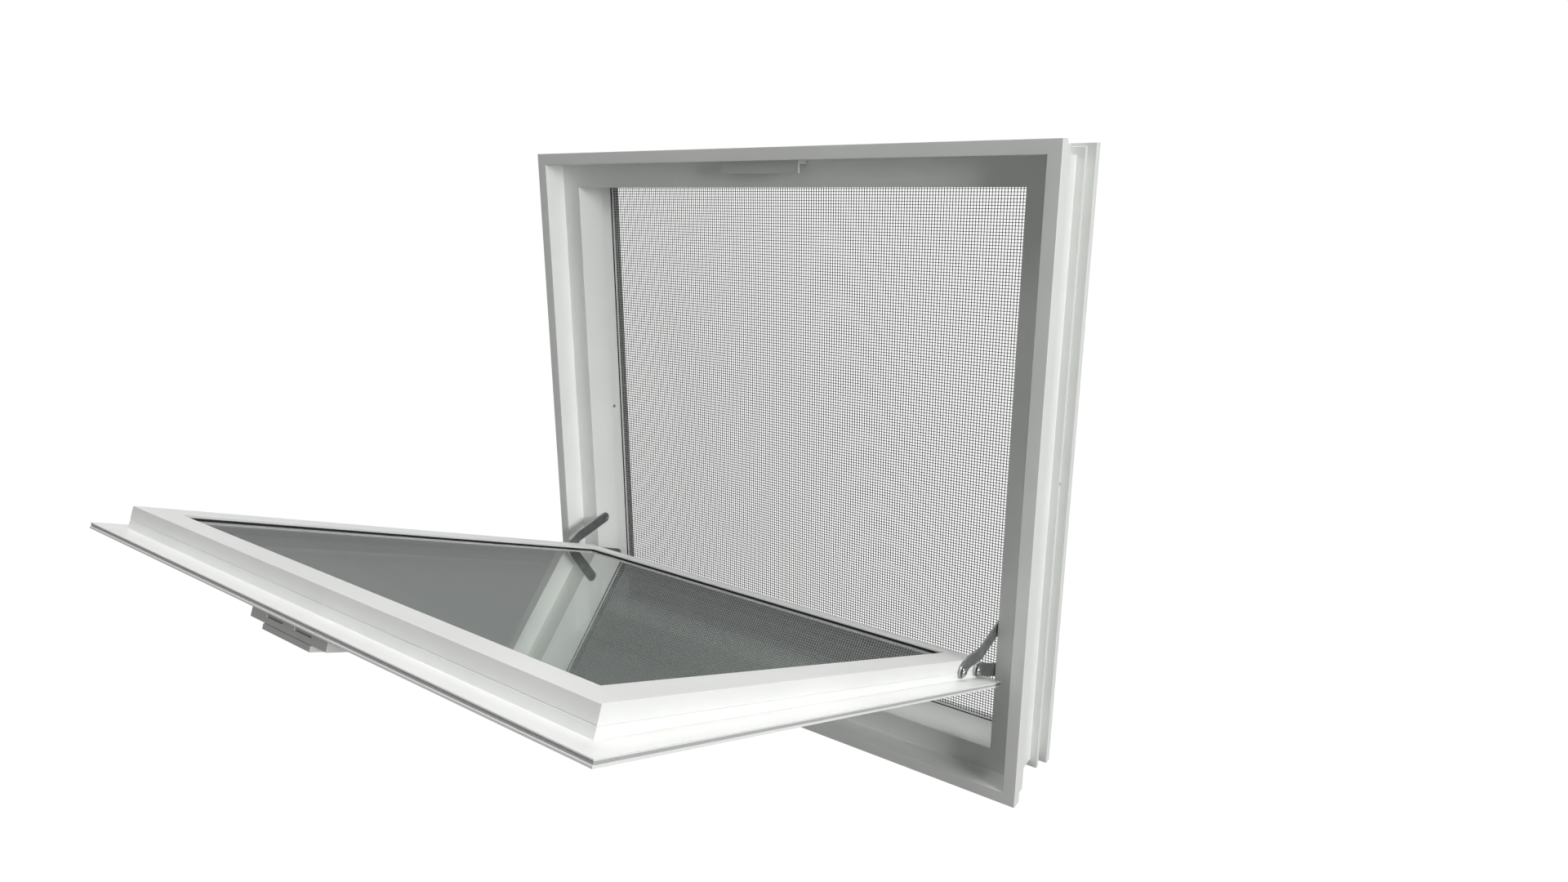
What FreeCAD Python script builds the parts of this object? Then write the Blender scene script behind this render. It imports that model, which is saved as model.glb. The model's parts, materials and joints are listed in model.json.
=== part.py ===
import FreeCAD, Part
import math
import os
import Sketcher
from FreeCAD import Placement, Rotation, Vector

# A hopper window: a white vinyl frame with an insect screen behind it, and a double-glazed sash
# that tips into the room on a four-bar hinge at each side. Millimetres, +X to the right as seen
# from the room, +Y to the outdoors, +Z up. The origin is the middle of the sill's foot.

# Driving dimensions. "inward" is measured from the frame's outer edge towards the opening, and
# "depth" from the frame's front face towards the outdoors.
SIZES = {
    # frame profile
    "frame_width": 600.0,        # outer width
    "frame_height": 600.0,       # outer height
    "foot_depth": 12.0,          # depth of the front flange's outer edge
    "flange_set_in": 3.3,        # outer face behind the front flange, inward
    "step_depth": 29.0,          # depth where the outer face sets in again
    "body_set_in": 10.8,         # outer face of the body, inward
    "front_fin_depth": 67.6,     # depth of the front fin's front face
    "front_fin_thick": 5.6,
    "front_fin_set_in": 3.6,     # tip of the front fin, inward
    "rear_fin_depth": 87.0,      # depth of the rear fin's front face
    "rear_fin_thick": 9.0,
    "face_width": 12.3,          # front face of the frame, inward
    "pocket_depth": 25.5,        # depth of the pocket that the sash flange closes into
    "stop_width": 36.7,          # wall of the opening, inward
    "stop_end": 61.0,            # depth where that wall steps back
    "recess_width": 31.0,        # wall behind the step, inward
    "screen_seat": 80.4,         # depth of the shoulder that the screen bears on
    "rear_wall": 15.5,           # wall around the screen, inward
    "frame_wall": 2.5,           # wall of the hollow profile
    "mitre_reach": 60.0,         # size of the corner that each mitre takes off
    # insect screen
    "screen_play": 1.0,          # room around the screen
    "screen_front_play": 0.6,
    "screen_thick": 4.8,
    "screen_back_play": 0.6,     # between the screen and its beads
    "screen_bar_width": 13.9,
    "screen_tube_wall": 0.8,
    "screen_tube_at": 9.3,       # tube of the screen bar, inward from its outer edge
    "spline_at": 5.5,            # spline groove, inward from the bar's outer edge
    "spline_width": 2.8,
    "spline_deep": 2.2,
    "spline_play": 0.2,
    "mesh_thick": 0.3,
    "mesh_play": 0.05,
    "mesh_edge_at": 4.5,         # cut edge of the mesh, inward from the bar's outer edge
    "screen_bead_inner": 29.4,   # inner face of the screen beads, inward
    "bead_play": 0.2,
    "screen_bead_wall": 2.0,
    "key_leg": 28.0,             # leg of a screen corner key
    "key_play": 0.2,
    # sash
    "sash_gap_side": 8.6,        # between the sash body and the jamb
    "sash_gap_low": 7.1,         # between the sash body and the sill
    "sash_gap_high": 10.1,       # between the sash body and the head
    "sash_face_depth": 42.5,     # depth of the sash's outdoor face when it is shut
    "sash_depth": 22.8,          # outdoor face to room face
    "flange_at": 18.0,           # outdoor face to the back of the flange
    "flange_reach": 18.3,        # flange beyond the sash body
    "kerf_at": 19.3,             # weatherstrip groove in the flange's edge
    "kerf_width": 1.8,
    "kerf_deep": 2.5,
    "seam_at": 11.0,             # fine line around the sash body
    "seam_half": 0.4,
    "seam_deep": 0.6,
    "sash_band": 24.4,           # outdoor face of the sash, body edge to glass opening
    "rebate_at": 11.4,           # floor of the glazing rebate, from the body edge
    "glazing_lip": 2.2,          # lip that holds the glass from outdoors
    "sash_wall": 2.5,
    "glass_inset": 3.0,          # glass edge to rebate floor
    "glass_thick": 3.0,
    "glass_gap": 8.0,
    "tape_thick": 0.7,
    "gasket_thick": 1.0,
    "gasket_proud": 1.2,         # gasket beyond the lip, as a thin line round the glass
    "gasket_width": 9.9,
    "spacer_inset": 1.0,
    "spacer_width": 7.0,
    "bead_top": 8.5,             # flat of the glazing bead before its bevel
    "bead_edge": 1.6,
    "block_long": 60.0,          # setting block
    "block_spread": 130.0,
    "block_wide": 12.0,
    "strip_play": 0.1,
    "strip_sunk": 0.4,
    # hinge
    "long_pivot_depth": 36.8,    # pivot of the long arm on the jamb
    "long_pivot_height": 164.0,
    "short_pivot_depth": 54.9,   # pivot of the short arm on the jamb
    "short_pivot_height": 109.7,
    "sash_pivot_depth": 9.7,     # both pivots on the sash, from its outdoor face
    "sash_pivot_low": 7.4,       # short arm's pivot, above the sash body's lower edge
    "sash_pivot_high": 43.9,     # long arm's pivot, above the sash body's lower edge
    "arm_thick": 2.0,
    "arm_gap": 0.8,              # between an arm's eye and the wall that it turns against
    "long_arm_width": 12.6,
    "short_arm_width": 12.5,
    "long_joggle_near": 14.0,    # joggle of the long arm, from its sash pivot
    "long_joggle_far": 30.0,
    "short_joggle_near": 9.0,
    "short_joggle_far": 23.0,
    "pin_radius": 2.5,
    "pin_play": 0.05,
    "rivet_head_radius": 4.5,
    "rivet_rim": 0.9,
    "rivet_crown": 2.6,
    "rivet_rise": 2.2,
    "stud_foot_radius": 3.4,
    "stud_foot_thick": 1.2,
    "washer_radius": 5.5,
    "washer_thick": 0.7,
    "plate_thick": 2.0,
    "jamb_plate_margin": 11.0,
    "jamb_plate_side": 1.6,      # plate to the walls of its chamber
    "sash_plate_margin": 9.0,
    "rivet_clear": 0.3,          # end of the long arm's rivet to the sash
    # latch and keeper
    "keeper_length": 92.0,
    "keeper_front": 10.9,        # depth of the keeper's hanging leg
    "keeper_leg_thick": 2.2,
    "keeper_drop": 11.5,
    "keeper_run": 13.2,
    "keeper_top_thick": 3.2,
    "keeper_screw_spread": 34.0,
    "keeper_screw_at": 19.0,
    "latch_length": 88.0,
    "latch_rise": 8.5,           # latch above the sash body's upper edge
    "latch_deep": 28.5,
    "latch_stand": 10.5,
    "tongue_out": 25.5,          # outer edge of a tongue from the middle
    "tongue_in": 7.5,
    "tongue_thick": 5.4,
    "tongue_play": 0.5,
    "latch_front_wall": 2.5,
    "latch_rear_wall": 2.0,
    "bridge_deep": 4.0,
    "stem_half": 4.0,
    "stem_deep": 3.0,
    "grip_length": 55.6,
    "grip_deep": 9.8,
    "grip_stand": 4.0,
    "grip_gap": 0.3,
    "tail_half": 8.0,
    "tail_thick": 1.2,
    "latch_screw_spread": 37.0,
    "screw_radius": 1.75,
    "screw_head_radius": 3.4,
    "screw_head_high": 1.6,
    "screw_reach": 5.0,
    # holes for fixing the frame to the wall
    "fixing_radius": 2.0,
}

doc = FreeCAD.newDocument("HopperWindow")
sheet = doc.addObject("Spreadsheet::Sheet", "Sizes")
for row, (alias, size) in enumerate(SIZES.items(), start=1):
    sheet.set(f"A{row}", alias)
    sheet.set(f"B{row}", str(size))
    sheet.setAlias(f"B{row}", alias)
doc.recompute()


# A length is written as a sum of sheet names and numbers, such as "frame_width/2 - stop_width".
def terms(text):
    """The signed names and numbers of a sum, each with what it is divided by."""
    sign = 1
    for word in text.split():
        if word in "+-":
            sign = -sign if word == "-" else sign
            continue
        name, _, divisor = word.partition("/")
        yield sign, name, float(divisor or 1)
        sign = 1


def number(text):
    """The value of a sum in millimetres."""
    return sum(sign * float(SIZES.get(name, name)) / divisor for sign, name, divisor in terms(text))


def formula(text):
    """The same sum as an expression on the sheet."""
    words = []
    for sign, name, divisor in terms(text):
        cell = f"Sizes.{name}" if name in SIZES else name
        words.append(f"{'-' if sign < 0 else '+'} {cell} / {divisor}")
    return "0 " + " ".join(words)


def minus(text):
    """The same sum with every sign turned."""
    words = []
    for sign, name, divisor in terms(text):
        words.append(f"{'+' if sign < 0 else '-'} {name}/{divisor}")
    return " ".join(words)


# Depths and heights that several pieces share.
FRAME_DEPTH = "rear_fin_depth + rear_fin_thick"
SASH_LOW = "stop_width + sash_gap_low - flange_reach"
FLANGE_WIDE = "frame_width - stop_width - stop_width - sash_gap_side - sash_gap_side" \
              " + flange_reach + flange_reach"
FLANGE_HIGH = "frame_height - stop_width - stop_width - sash_gap_low - sash_gap_high" \
              " + flange_reach + flange_reach"
GLASS_OPENING = "flange_reach + sash_band"
PIVOT_LOW = "flange_reach + sash_pivot_low"
PIVOT_HIGH = "flange_reach + sash_pivot_high"
LATCH_DROP = "flange_reach - latch_rise"
REBATE = "flange_reach + rebate_at"
GLASS_EDGE = REBATE + " + glass_inset"
GLASS_FRONT = "glazing_lip + gasket_thick"
SPACER_FRONT = GLASS_FRONT + " + glass_thick"
INNER_PANE = SPACER_FRONT + " + glass_gap"
GLASS_BACK = INNER_PANE + " + glass_thick"
BEAD_FRONT = GLASS_BACK + " + tape_thick"
SCREEN_EDGE = "rear_wall + screen_play"
SCREEN_FRONT = "screen_seat + screen_front_play"
SCREEN_BACK = SCREEN_FRONT + " + screen_thick"
BEAD_SEAT = SCREEN_BACK + " + screen_back_play"
OPENING_HALF = "frame_width/2 - stop_width"

parts = []      # every sub-part, in the order that it is made


# Placements. row() puts a thing in the part's own frame, from the frame of the window, whose
# depth starts at the front face.
ROW = Placement(Vector(0, -number("foot_depth") / 2, 0), Rotation())
X_AXIS, Y_AXIS, Z_AXIS = Vector(1, 0, 0), Vector(0, 1, 0), Vector(0, 0, 1)


def at(x=0.0, y=0.0, z=0.0, axis=Z_AXIS, angle=0.0):
    return Placement(Vector(x, y, z), Rotation(axis, angle))


def keep(label, made, place):
    """Names a finished sub-part and puts it where it belongs."""
    made.Label = label
    made.Placement = ROW * place
    parts.append(made)
    return made


# ---- Building blocks -------------------------------------------------------------------------

def bind(made, name, text):
    made.setExpression(name, formula(text))


def body_sketch(body, plane, lift=None):
    """A sketch on one of the body's own planes, lifted off it by a length where one is given."""
    sketch = body.newObject("Sketcher::SketchObject", body.Name + "Sketch")
    origin = [one for one in body.Origin.OriginFeatures if one.Role == plane][0]
    sketch.AttachmentSupport = [(origin, "")]
    sketch.MapMode = "FlatFace"
    if lift:
        bind(sketch, "AttachmentOffset.Base.z", lift)
    return sketch


def hold(sketch, kind, text, *what):
    """Adds a dimension and ties it to the sheet."""
    index = sketch.addConstraint(Sketcher.Constraint(kind, *what, number(text)))
    sketch.setExpression(f"Constraints[{index}]", formula(text))


def draw_outline(sketch, points):
    """A closed outline through points, each given as two sums."""
    spots = [Vector(number(across), number(up), 0) for across, up in points]
    first = sketch.GeometryCount
    count = len(points)
    for i in range(count):
        sketch.addGeometry(Part.LineSegment(spots[i], spots[(i + 1) % count]), False)
    for i in range(count):
        sketch.addConstraint(Sketcher.Constraint("Coincident", first + i, 2, first + (i + 1) % count, 1))
    for i, (across, up) in enumerate(points):
        hold(sketch, "DistanceX", across, -1, 1, first + i, 1)
        hold(sketch, "DistanceY", up, -1, 1, first + i, 1)


def draw_circle(sketch, across, up, radius):
    index = sketch.addGeometry(Part.Circle(Vector(number(across), number(up), 0), Z_AXIS,
                                           number(radius)), False)
    hold(sketch, "DistanceX", across, -1, 1, index, 3)
    hold(sketch, "DistanceY", up, -1, 1, index, 3)
    hold(sketch, "Radius", radius, index)


def rectangle(left, low, right, high):
    return [(left, low), (right, low), (right, high), (left, high)]


def pad(body, sketch, length, symmetric=False):
    made = body.newObject("PartDesign::Pad", body.Name + "Pad")
    made.Profile = sketch
    made.SideType = "Symmetric" if symmetric else "One side"
    bind(made, "Length", length)
    return made


def cut_through(body, sketch, side="One side"):
    """Cuts a sketch's outlines through the body, along the sketch's normal."""
    made = body.newObject("PartDesign::Pocket", body.Name + "Pocket")
    made.Profile = sketch
    made.Type = "ThroughAll"
    made.SideType = side
    made.Reversed = side == "One side"
    return made


def new_body(label):
    return doc.addObject("PartDesign::Body", label)


def mitred_bar(label, outlines, length):
    """A bar along X with 45 degree ends. Its outer edge lies on Z = 0, and the outlines are of
    its depth along Y and its width along Z."""
    body = new_body(label)
    section = body_sketch(body, "YZ_Plane")
    for outline in outlines:
        draw_outline(section, outline)
    pad(body, section, length, symmetric=True)
    ends = body_sketch(body, "XZ_Plane")
    half, reach = length_half(length), "mitre_reach"
    for sign in (1, -1):
        tip = half if sign > 0 else minus(half)
        back = half + " - " + reach if sign > 0 else minus(half) + " + " + reach
        draw_outline(ends, [(tip, "0"), (tip, reach), (back, reach)])
    cut_through(body, ends, side="Symmetric")
    return body


def length_half(length):
    words = []
    for sign, name, divisor in terms(length):
        words.append(f"{'-' if sign < 0 else '+'} {name}/{divisor * 2}")
    return " ".join(words)


def solid_box(name, start, size):
    """A box from its low corner and its size, each as three sums."""
    made = doc.addObject("Part::Box", name)
    for side, text in zip(("Length", "Width", "Height"), size):
        bind(made, side, text)
    for axis, text in zip("xyz", start):
        bind(made, "Placement.Base." + axis, text)
    return made


def rod(name, start, radius, length):
    """A cylinder along +X from its start."""
    made = doc.addObject("Part::Cylinder", name)
    bind(made, "Radius", radius)
    bind(made, "Height", length)
    made.Placement = Placement(Vector(), Rotation(Y_AXIS, 90))
    for axis, text in zip("xyz", start):
        bind(made, "Placement.Base." + axis, text)
    return made


def cut(name, base, tools):
    """The base with every tool taken away."""
    tool = tools[0]
    if len(tools) > 1:
        tool = doc.addObject("Part::MultiFuse", name + "_tools")
        tool.Shapes = tools
    made = doc.addObject("Part::Cut", name)
    made.Base = base
    made.Tool = tool
    return made


def joined(name, pieces):
    made = doc.addObject("Part::MultiFuse", name)
    made.Shapes = pieces
    return made


def group(name, pieces):
    """Separate solids that share one node."""
    made = doc.addObject("Part::Compound", name)
    made.Links = pieces
    return made


def ring(name, wide, high, outer, inner, front, thick):
    """A rectangular loop centred on X, with its lower edge near Z = 0. outer and inner are its
    edges, inward from a rectangle of the given width and height."""
    def slab(label, edge):
        size = (f"{wide} {minus(edge)} {minus(edge)}", thick, f"{high} {minus(edge)} {minus(edge)}")
        return solid_box(label, (f"{minus(length_half(wide))} + {edge}", front, edge), size)
    return cut(name, slab(name + "_outer", outer), [slab(name + "_inner", inner)])


def turned(name, points):
    """A solid turned about Y from an outline of radius and length."""
    body = new_body(name)
    sketch = body_sketch(body, "XY_Plane")
    draw_outline(sketch, points)
    made = body.newObject("PartDesign::Revolution", name + "Turn")
    made.Profile = sketch
    made.ReferenceAxis = (sketch, ["V_Axis"])
    made.Angle = 360
    return body


def four_sides(wide, high):
    """Where the four bars of a rectangle go: bottom, top, left and right, by name. Each bar's
    outer edge lands on the rectangle, whose lower edge is centred on the origin."""
    w, h = number(wide), number(high)
    return {
        "bottom": at(),
        "top": at(0, 0, h, Y_AXIS, 180),
        "left": at(-w / 2, 0, h / 2, Y_AXIS, 90),
        "right": at(w / 2, 0, h / 2, Y_AXIS, -90),
    }


def side_sign(side):
    return 1 if side == "right" else -1


# ---- Frame: head, sill and jambs, hollow vinyl bars with welded mitres ------------------------

FRAME_OUTLINE = [
    ("0", "0"),
    ("foot_depth", "0"),
    ("foot_depth", "flange_set_in"),
    ("step_depth", "flange_set_in"),
    ("step_depth", "body_set_in"),
    ("front_fin_depth", "body_set_in"),
    ("front_fin_depth", "front_fin_set_in"),
    ("front_fin_depth + front_fin_thick", "front_fin_set_in"),
    ("front_fin_depth + front_fin_thick", "body_set_in"),
    ("rear_fin_depth", "body_set_in"),
    ("rear_fin_depth", "0"),
    (FRAME_DEPTH, "0"),
    (FRAME_DEPTH, "rear_wall"),
    ("screen_seat", "rear_wall"),
    ("screen_seat", "recess_width"),
    ("stop_end", "recess_width"),
    ("stop_end", "stop_width"),
    ("pocket_depth", "stop_width"),
    ("pocket_depth", "face_width"),
    ("0", "face_width"),
]
FRONT_CHAMBER = rectangle("frame_wall", "flange_set_in + frame_wall",
                          "pocket_depth", "face_width - frame_wall")
MAIN_CHAMBER = [
    ("pocket_depth + frame_wall", "body_set_in + frame_wall"),
    ("screen_seat - frame_wall", "body_set_in + frame_wall"),
    ("screen_seat - frame_wall", "recess_width - frame_wall"),
    ("stop_end - frame_wall", "recess_width - frame_wall"),
    ("stop_end - frame_wall", "stop_width - frame_wall"),
    ("pocket_depth + frame_wall", "stop_width - frame_wall"),
]
FRAME_BARS = {
    "bottom": ("frame_sill", "frame_width"),
    "top": ("frame_head", "frame_width"),
    "left": ("frame_jamb_left", "frame_height"),
    "right": ("frame_jamb_right", "frame_height"),
}
frame_places = four_sides("frame_width", "frame_height")
for side, (label, length) in FRAME_BARS.items():
    bar = mitred_bar(label, [FRAME_OUTLINE, FRONT_CHAMBER, MAIN_CHAMBER], length)
    if side == "top":
        holes = body_sketch(bar, "XY_Plane", lift="face_width - frame_wall - 1")
        for spread in ("keeper_screw_spread", "- keeper_screw_spread"):
            draw_circle(holes, spread, "keeper_screw_at", "screw_radius + pin_play")
        cut_through(bar, holes)
    if side in ("left", "right"):
        # A jamb's bar lies with its X up on the right and down on the left.
        middle = "- frame_height/2" if side == "right" else "frame_height/2"
        turn = str if side == "right" else minus
        holes = body_sketch(bar, "XY_Plane", lift="stop_width - frame_wall - 1")
        for depth, height in (("long_pivot_depth", "long_pivot_height"),
                              ("short_pivot_depth", "short_pivot_height")):
            draw_circle(holes, f"{turn(height)} + {middle}", depth, "pin_radius + pin_play")
        cut_through(bar, holes)
        fixing = body_sketch(bar, "XY_Plane")
        draw_circle(fixing, "0", "front_fin_depth + front_fin_thick/2", "fixing_radius")
        cut_through(bar, fixing)
    keep(label, bar, frame_places[side])

# ---- Insect screen: four tube bars on corner keys, mesh held by a spline, beads behind --------

SCREEN_WIDE = f"frame_width {minus(SCREEN_EDGE)} {minus(SCREEN_EDGE)}"
SCREEN_HIGH = f"frame_height {minus(SCREEN_EDGE)} {minus(SCREEN_EDGE)}"
SCREEN_OUTLINE = [
    ("0", "0"),
    ("screen_thick", "0"),
    ("screen_thick", "spline_at"),
    ("screen_thick - spline_deep", "spline_at"),
    ("screen_thick - spline_deep", "spline_at + spline_width"),
    ("screen_thick", "spline_at + spline_width"),
    ("screen_thick", "screen_bar_width"),
    ("0", "screen_bar_width"),
]
SCREEN_TUBE = rectangle("screen_tube_wall", "screen_tube_at",
                        "screen_thick - screen_tube_wall", "screen_bar_width - screen_tube_wall")
screen_place = at(0, number(SCREEN_FRONT), number(SCREEN_EDGE))
for side, place in four_sides(SCREEN_WIDE, SCREEN_HIGH).items():
    name = "screen_bar_" + side
    length = SCREEN_WIDE if side in ("bottom", "top") else SCREEN_HIGH
    keep(name, mitred_bar(name, [SCREEN_OUTLINE, SCREEN_TUBE], length), screen_place * place)

# Each corner key is an L whose legs lie in the tubes of two bars.
KEY_WIDE = "screen_bar_width - screen_tube_wall - screen_tube_at - key_play - key_play"
KEY_DEEP = "screen_thick - screen_tube_wall - screen_tube_wall - key_play - key_play"
keys = []
for corner in range(4):
    sign = 1 if corner % 2 else -1
    upright = corner > 1
    start = ("0", "screen_tube_wall + key_play", "0")
    whole = solid_box(f"key_{corner}_outer", start, ("key_leg", KEY_DEEP, "key_leg"))
    notch = solid_box(f"key_{corner}_notch", (KEY_WIDE, "0", KEY_WIDE),
                      ("key_leg", "screen_thick", "key_leg"))
    key = cut(f"key_{corner}", whole, [notch])
    inset = number("screen_tube_at + key_play")
    half, high = number(SCREEN_WIDE) / 2 - inset, number(SCREEN_HIGH)
    angle = {(-1, False): 0, (1, False): -90, (-1, True): 90, (1, True): 180}[(sign, upright)]
    key.Placement = at(sign * half, 0, high - inset if upright else inset, Y_AXIS, angle)
    keys.append(key)
keep("screen_corner_keys", group("screen_corner_keys", keys), screen_place)

spline = ring("screen_spline", SCREEN_WIDE, SCREEN_HIGH, "spline_at + spline_play",
              "spline_at + spline_width - spline_play",
              "screen_thick - spline_deep + spline_play", "spline_deep - spline_play - spline_play")
keep("screen_spline", spline, screen_place)

mesh_start = (minus(length_half(SCREEN_WIDE)) + " + mesh_edge_at", "screen_thick + mesh_play",
              "mesh_edge_at")
mesh_size = (SCREEN_WIDE + " - mesh_edge_at - mesh_edge_at", "mesh_thick",
             SCREEN_HIGH + " - mesh_edge_at - mesh_edge_at")
keep("insect_mesh", group("insect_mesh", [solid_box("mesh_sheet", mesh_start, mesh_size)]),
     screen_place)

SCREEN_BEAD_EDGE = "rear_wall + bead_play"
SCREEN_BEAD_WIDE = f"frame_width {minus(SCREEN_BEAD_EDGE)} {minus(SCREEN_BEAD_EDGE)}"
SCREEN_BEAD_HIGH = f"frame_height {minus(SCREEN_BEAD_EDGE)} {minus(SCREEN_BEAD_EDGE)}"
BEAD_DEEP = f"{FRAME_DEPTH} {minus(BEAD_SEAT)}"
BEAD_ACROSS = "screen_bead_inner - rear_wall - bead_play"
SCREEN_BEAD_OUTLINES = [
    rectangle("0", "0", BEAD_DEEP, BEAD_ACROSS),
    rectangle("screen_bead_wall", "screen_bead_wall", BEAD_DEEP + " - screen_bead_wall",
              BEAD_ACROSS + " - screen_bead_wall"),
]
screen_bead_place = at(0, number(BEAD_SEAT), number(SCREEN_BEAD_EDGE))
for side, place in four_sides(SCREEN_BEAD_WIDE, SCREEN_BEAD_HIGH).items():
    name = "screen_bead_" + side
    length = SCREEN_BEAD_WIDE if side in ("bottom", "top") else SCREEN_BEAD_HIGH
    keep(name, mitred_bar(name, SCREEN_BEAD_OUTLINES, length), screen_bead_place * place)

# ---- Hinge geometry ---------------------------------------------------------------------------
# All in the plane of depth and height. Shut, the sash stands upright in its pocket. Open, the
# short arm and the line between the sash's two pivots are stretched straight, which is where the
# hinge stops.

long_jamb = (number("long_pivot_depth"), number("long_pivot_height"))
short_jamb = (number("short_pivot_depth"), number("short_pivot_height"))
pivot_depth = number("sash_face_depth - sash_pivot_depth")
long_shut = (pivot_depth, number(f"{SASH_LOW} + {PIVOT_HIGH}"))
short_shut = (pivot_depth, number(f"{SASH_LOW} + {PIVOT_LOW}"))
long_length = math.dist(long_jamb, long_shut)
short_length = math.dist(short_jamb, short_shut)
stretched = short_length + math.dist(long_shut, short_shut)


def angle_to(start, end):
    return math.degrees(math.atan2(end[1] - start[1], end[0] - start[0]))


def point_from(start, angle, length):
    return (start[0] + length * math.cos(math.radians(angle)),
            start[1] + length * math.sin(math.radians(angle)))


# The long arm's open position is where its circle meets the circle of the stretched links.
apart = math.dist(short_jamb, long_jamb)
corner_cos = (stretched ** 2 + apart ** 2 - long_length ** 2) / (2 * stretched * apart)
stretch_angle = angle_to(short_jamb, long_jamb) + math.degrees(math.acos(corner_cos))
long_open = point_from(short_jamb, stretch_angle, stretched)
short_open = point_from(short_jamb, stretch_angle, short_length)
open_angle = stretch_angle - 90

# The sash's own frame: X mirrored, Y from the outdoor face to the room, Z up from the flange's
# lower edge. This places it in the open position.
sash_shut = at(0, number("sash_face_depth"), number(SASH_LOW), Z_AXIS, 180)
sash_place = (at(0, *long_open, X_AXIS, open_angle) * at(0, -long_shut[0], -long_shut[1])
              * sash_shut)

# ---- Sash: rails and stiles, glazing beads, sealed double glass -------------------------------

SASH_OUTLINE = [
    ("0", "flange_reach"),
    ("seam_at - seam_half", "flange_reach"),
    ("seam_at", "flange_reach + seam_deep"),
    ("seam_at + seam_half", "flange_reach"),
    ("flange_at", "flange_reach"),
    ("flange_at", "0"),
    ("kerf_at", "0"),
    ("kerf_at", "kerf_deep"),
    ("kerf_at + kerf_width", "kerf_deep"),
    ("kerf_at + kerf_width", "0"),
    ("sash_depth", "0"),
    ("sash_depth", REBATE),
    ("glazing_lip", REBATE),
    ("glazing_lip", GLASS_OPENING),
    ("0", GLASS_OPENING),
]
SASH_CHAMBER = rectangle("sash_wall", "flange_reach + sash_wall", "sash_depth - sash_wall",
                         REBATE + " - sash_wall")
SASH_BARS = {
    "bottom": ("sash_rail_bottom", FLANGE_WIDE),
    "top": ("sash_rail_top", FLANGE_WIDE),
    "left": ("sash_stile_right", FLANGE_HIGH),      # the sash's X is mirrored
    "right": ("sash_stile_left", FLANGE_HIGH),
}
for side, place in four_sides(FLANGE_WIDE, FLANGE_HIGH).items():
    label, length = SASH_BARS[side]
    bar = mitred_bar(label, [SASH_OUTLINE, SASH_CHAMBER], length)
    if side == "top":
        # The latch's screws go in from the room, so this sketch stands in the bar's chamber.
        holes = body_sketch(bar, "XZ_Plane", lift="- sash_depth + sash_wall + 1")
        for spread in ("latch_screw_spread", "- latch_screw_spread"):
            draw_circle(holes, spread, LATCH_DROP + " + latch_deep/2", "screw_radius + pin_play")
        screw_cut = cut_through(bar, holes)
        screw_cut.Reversed = False
    if side in ("left", "right"):
        half = length_half(FLANGE_HIGH)
        height = f"{PIVOT_LOW} {minus(half)}" if side == "right" else f"{half} {minus(PIVOT_LOW)}"
        holes = body_sketch(bar, "XY_Plane")
        draw_circle(holes, height, "sash_pivot_depth", "pin_radius + pin_play")
        rivet_hole = cut_through(bar, holes)
        rivet_hole.Type = "Length"
        bind(rivet_hole, "Length", "flange_reach + sash_wall + 1")
    keep(label, bar, sash_place * place)

GLAZING_BEAD_OUTLINE = [
    ("0", "0"),
    (f"sash_depth {minus(BEAD_FRONT)}", "0"),
    (f"sash_depth {minus(BEAD_FRONT)}", "bead_top"),
    ("bead_edge", "sash_band - rebate_at - bead_play"),
    ("0", "sash_band - rebate_at - bead_play"),
]
BEAD_EDGE = REBATE + " + bead_play"
GLAZING_WIDE = f"{FLANGE_WIDE} {minus(BEAD_EDGE)} {minus(BEAD_EDGE)}"
GLAZING_HIGH = f"{FLANGE_HIGH} {minus(BEAD_EDGE)} {minus(BEAD_EDGE)}"
glazing_place = sash_place * at(0, number(BEAD_FRONT), number(BEAD_EDGE))
BEAD_NAMES = {"bottom": "bottom", "top": "top", "left": "right", "right": "left"}
for side, place in four_sides(GLAZING_WIDE, GLAZING_HIGH).items():
    name = "glazing_bead_" + BEAD_NAMES[side]
    length = GLAZING_WIDE if side in ("bottom", "top") else GLAZING_HIGH
    keep(name, mitred_bar(name, [GLAZING_BEAD_OUTLINE], length), glazing_place * place)


def pane(name, front):
    start = (f"{minus(length_half(FLANGE_WIDE))} + {GLASS_EDGE}", front, GLASS_EDGE)
    size = (f"{FLANGE_WIDE} {minus(GLASS_EDGE)} {minus(GLASS_EDGE)}", "glass_thick",
            f"{FLANGE_HIGH} {minus(GLASS_EDGE)} {minus(GLASS_EDGE)}")
    keep(name, group(name, [solid_box(name + "_sheet", start, size)]), sash_place)


pane("glass_outer", GLASS_FRONT)
pane("glass_inner", INNER_PANE)
SPACER_EDGE = GLASS_EDGE + " + spacer_inset"
keep("glass_spacer", ring("glass_spacer", FLANGE_WIDE, FLANGE_HIGH, SPACER_EDGE,
                          SPACER_EDGE + " + spacer_width", SPACER_FRONT, "glass_gap"), sash_place)
GASKET_INNER = GLASS_OPENING + " + gasket_proud"
keep("gasket_outer", ring("gasket_outer", FLANGE_WIDE, FLANGE_HIGH,
                          GASKET_INNER + " - gasket_width", GASKET_INNER, "glazing_lip",
                          "gasket_thick"), sash_place)
keep("glazing_tape", ring("glazing_tape", FLANGE_WIDE, FLANGE_HIGH,
                          GLASS_OPENING + " - gasket_width", GLASS_OPENING, GLASS_BACK,
                          "tape_thick"), sash_place)
keep("sash_weatherstrip", ring("sash_weatherstrip", FLANGE_WIDE, FLANGE_HIGH, "strip_sunk",
                               "kerf_deep - strip_play", "kerf_at + strip_play",
                               "kerf_width - strip_play - strip_play"), sash_place)

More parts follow.
